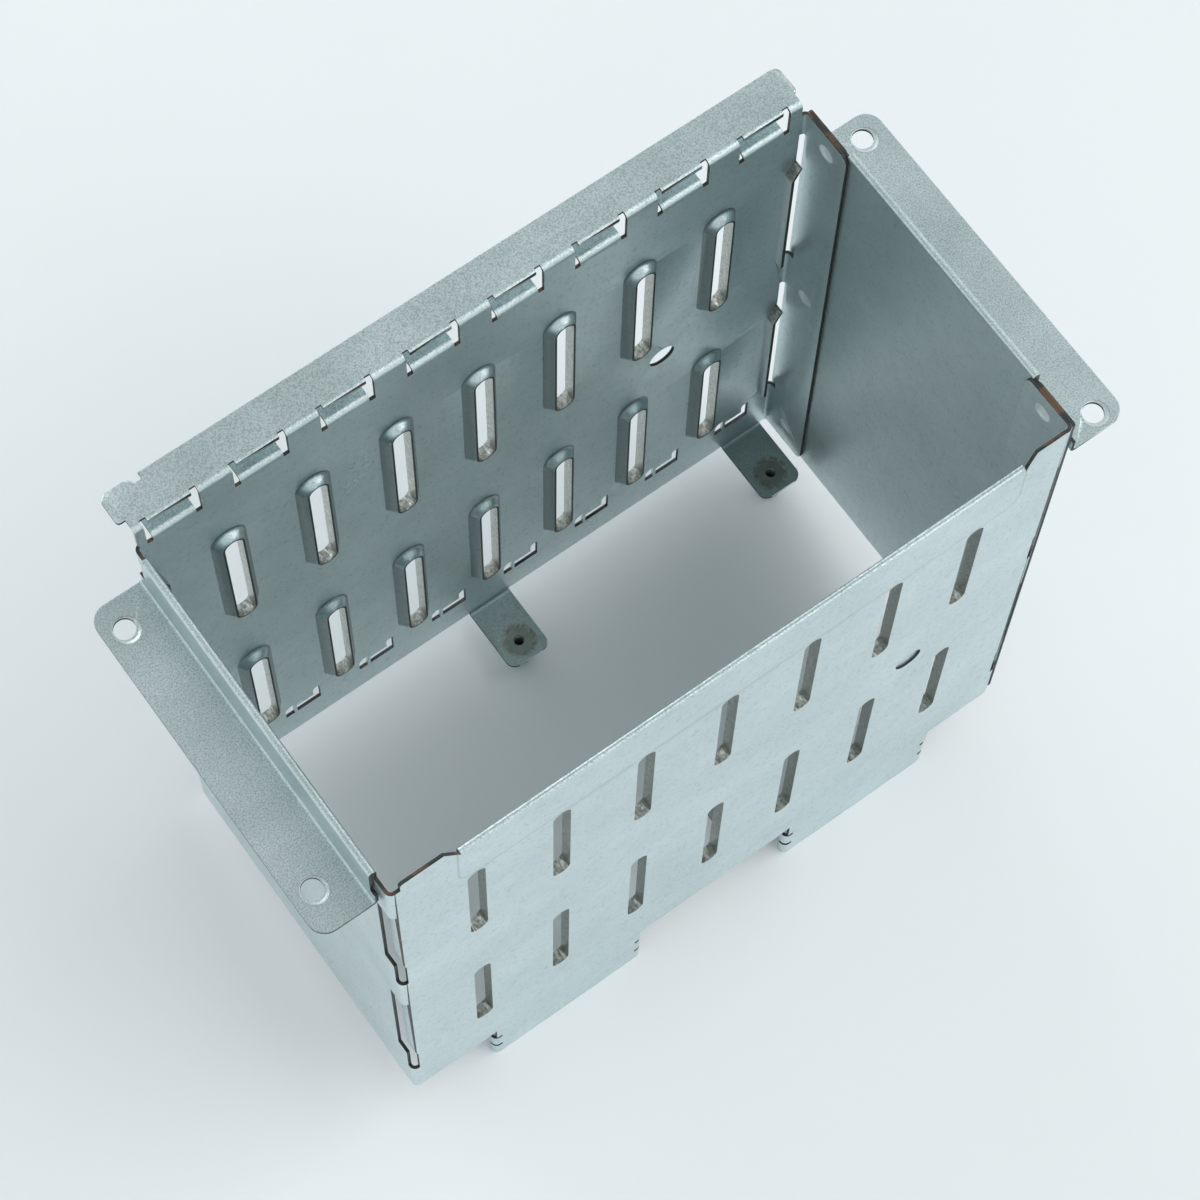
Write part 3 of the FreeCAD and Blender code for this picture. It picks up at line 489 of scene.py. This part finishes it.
def galvanised(name):
    """Zinc with spangle, speckle, streaks and tool marks, painted shade on the feet and the slots'
    flanks, and painted highlights in the dishes and on the ear rims; cut faces turn to rusty steel.
    """
    zinc = Nodes(name)
    up = zinc.facing_up()
    cells = zinc.add("ShaderNodeTexVoronoi", Vector=zinc.coords, Scale=210.0, Randomness=1.0)
    spangle = zinc.add("ShaderNodeSeparateColor", Color=cells.outputs["Color"]).outputs[0]
    cloud = zinc.noise(38.0, 4.0)
    speckle = zinc.noise(2300.0, 2.0)
    grime = zinc.noise(900.0, 3.0)
    streak = zinc.noise(1.0, 3.0, stretch=(420.0, 420.0, 14.0))
    base = zinc.mix(zinc.spread(cloud, 0.32, 0.68), colour(199, 215, 216), colour(213, 227, 229))
    base = zinc.mix(zinc.spread(spangle, 0.0, 1.0, 0.0, 0.14), base, colour(176, 192, 195))
    base = zinc.mix(zinc.spread(streak, 0.55, 0.8, 0.0, 0.2), base, colour(228, 235, 236))
    base = zinc.mix(zinc.spread(grime, 0.58, 0.72, 0.0, 0.2), base, colour(104, 114, 112))
    dust = zinc.maths("MULTIPLY", zinc.spread(speckle, 0.42, 0.66), zinc.spread(up, 0.5, 0.9, 0.08, 0.5))
    base = zinc.mix(dust, base, colour(112, 124, 123))

    on_feet = zinc.spread(zinc.axis("Z"), *WALLS_FOOT, 1.0, 0.0)
    # Painted shade: low on the feet, the level faces are darkened towards the shade inside the cage.
    painted_foot_shade = zinc.maths("MULTIPLY", on_feet, zinc.spread(up, 0.7, 0.9, 0.0, 0.7))
    base = zinc.mix(painted_foot_shade, base, colour(112, 127, 127))
    ring = zinc.spread(zinc.nearest(STANDOFFS), *HEAD_RING, 1.0, 0.0)
    brown = zinc.maths("MULTIPLY", ring, zinc.spread(grime, 0.35, 0.6, 0.2, 0.8))
    base = zinc.mix(zinc.maths("MULTIPLY", brown, on_feet), base, colour(110, 98, 78))

    # Painted highlight: the clinch dishes are turned pale, and less metallic below, as a painted glint.
    dish_glint = zinc.attribute("pressed")
    base = zinc.mix(zinc.maths("MULTIPLY", dish_glint, 0.85), base, colour(240, 246, 246))
    base, rolled = rolled_rims(zinc, base)
    line = leaf_outline(zinc)
    base = zinc.mix(zinc.maths("MULTIPLY", line, 0.35), base, colour(120, 134, 136))

    edge = zinc.attribute("sheared")
    base = zinc.mix(edge, base, rusty_steel(zinc))
    scores = zinc.noise(1.0, 2.0, stretch=(900.0, 900.0, 3200.0))
    scored = zinc.mix(zinc.spread(scores, 0.35, 0.65), colour(118, 118, 110), colour(214, 212, 202))
    base = zinc.mix(zinc.maths("MULTIPLY", zinc.attribute("pierced"), 0.75), base, scored)
    # Painted shade: the drawn slots' flanks are darkened where they stand upright, and left as they are
    # where they face up.
    painted_flank_shade = zinc.spread(zinc.maths("ABSOLUTE", up), 0.1, 0.5, 0.6, 0.0)
    base = zinc.mix(zinc.maths("MULTIPLY", zinc.attribute("flank"), painted_flank_shade), base, colour(70, 84, 84))

    rough = zinc.spread(cloud, 0.3, 0.7, 0.27, 0.36)
    rough = zinc.maths("ADD", rough, zinc.spread(grime, 0.5, 0.7, 0.0, 0.12))
    rough = zinc.maths("ADD", rough, zinc.maths("MULTIPLY", edge, 0.2))
    metal = zinc.maths("SUBTRACT", zinc.spread(edge, 0.0, 1.0, 0.92, 0.55),
                       zinc.maths("MULTIPLY", dish_glint, 0.5))
    height = zinc.maths("ADD", zinc.maths("MULTIPLY", streak, 0.3), zinc.maths("MULTIPLY", speckle, 0.4))
    height = zinc.maths("SUBTRACT", height, zinc.maths("MULTIPLY", rolled, 2.0))
    height = zinc.maths("SUBTRACT", height, zinc.maths("MULTIPLY", line, 0.5))
    return finish(zinc, base, rough, metal, bump=height, strength=0.8, distance=0.15 * MM, edge=0.18 * MM)


galvanised_sheet = galvanised("galvanised_sheet")
for piece, node in ((shell, "cage_shell"), (plate, "end_plate")):
    piece.data.materials.append(galvanised_sheet)
    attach(piece, "root")
    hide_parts(node)
print("zinc on", shell.name, "and", plate.name)

# %% [markdown]
# ## The standoffs
# A self clinching standoff is turned and plated steel, a little darker and shinier than the
# sheet, with its hexagonal head pressed flush and coloured darker where it faces up. Its imported
# shape is right, so it only gets a finish, and the thread that the construction leaves out.

# %% Plate the standoffs
plated = Nodes("plated_steel")
mottle = plated.spread(plated.noise(260.0, 3.0), 0.35, 0.65)
tint = plated.mix(mottle, colour(150, 156, 152), colour(178, 182, 176))
# Darker where the surface faces up.
darker_facing_up = plated.spread(plated.facing_up(), 0.7, 0.9, 0.0, 0.75)
tint = plated.mix(darker_facing_up, tint, colour(98, 108, 102))
plated_rough = plated.spread(plated.noise(600.0), 0.3, 0.7, 0.28, 0.42)
plated_steel = finish(plated, tint, plated_rough, 0.95, edge=0.15 * MM)
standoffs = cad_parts["foot_standoffs"]
standoffs.data.materials.clear()
standoffs.data.materials.append(plated_steel)


# %% Cut a thread in each bore
STEPS_PER_TURN = 28
FEET_OF_RIDGE = 1.02


def thread(middle, low, high, radius, pitch, ridge):
    """Helical ridge inside a bore, as rings of three points.

    Where the helix has turned by a, the ridge stands at height low + pitch * a / (2 pi).
    Each ring has its crest at radius - ridge, midway between its two feet, which are sunk
    a little into the wall.
    """
    turns = (high - low) / pitch - 1.0
    angle = np.linspace(0.0, 2 * math.pi * turns, int(STEPS_PER_TURN * turns))[:, None]
    foot = radius * FEET_OF_RIDGE
    reach = np.array([foot, radius - ridge, foot])[None, :]
    height = low + pitch * (angle / (2 * math.pi) + np.array([0.08, 0.5, 0.92])[None, :])
    x = middle[0] + reach * np.cos(angle)
    y = middle[1] + reach * np.sin(angle)
    return np.stack([x, y, height], axis=-1)


def ring_faces(count, start):
    """Quads round and along count rings of three points, and a triangle over either end."""
    ring = start + np.arange(count * 3).reshape(count, 3)
    after = np.roll(ring, -1, axis=1)
    walls = np.stack([ring[:-1], after[:-1], after[1:], ring[1:]], axis=-1).reshape(-1, 4)
    return [*walls.tolist(), ring[0][::-1].tolist(), ring[-1].tolist()]


BORE_RADIUS, PITCH, RIDGE = 1.65 * MM, 0.7 * MM, 0.25 * MM
THREAD_LOW, THREAD_HIGH = standoff_low.z + 0.3 * MM, standoff_high.z - 0.3 * MM
points, faces = [], []
for middle in STANDOFFS:
    rings = thread(middle, THREAD_LOW, THREAD_HIGH, BORE_RADIUS, PITCH, RIDGE)
    faces += ring_faces(len(rings), len(points))
    points += rings.reshape(-1, 3).tolist()
threads = new_mesh("standoff_threads", points, faces)
work = bmesh.new()
work.from_mesh(threads.data)
if work.calc_volume(signed=True) < 0:
    bmesh.ops.reverse_faces(work, faces=work.faces)
work.to_mesh(threads.data)
work.free()
threads.data.materials.append(plated_steel)
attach(threads, "root")
print(len(faces), "thread faces, pitch", PITCH / MM, "mm in a bore of", BORE_RADIUS * 2 / MM, "mm")
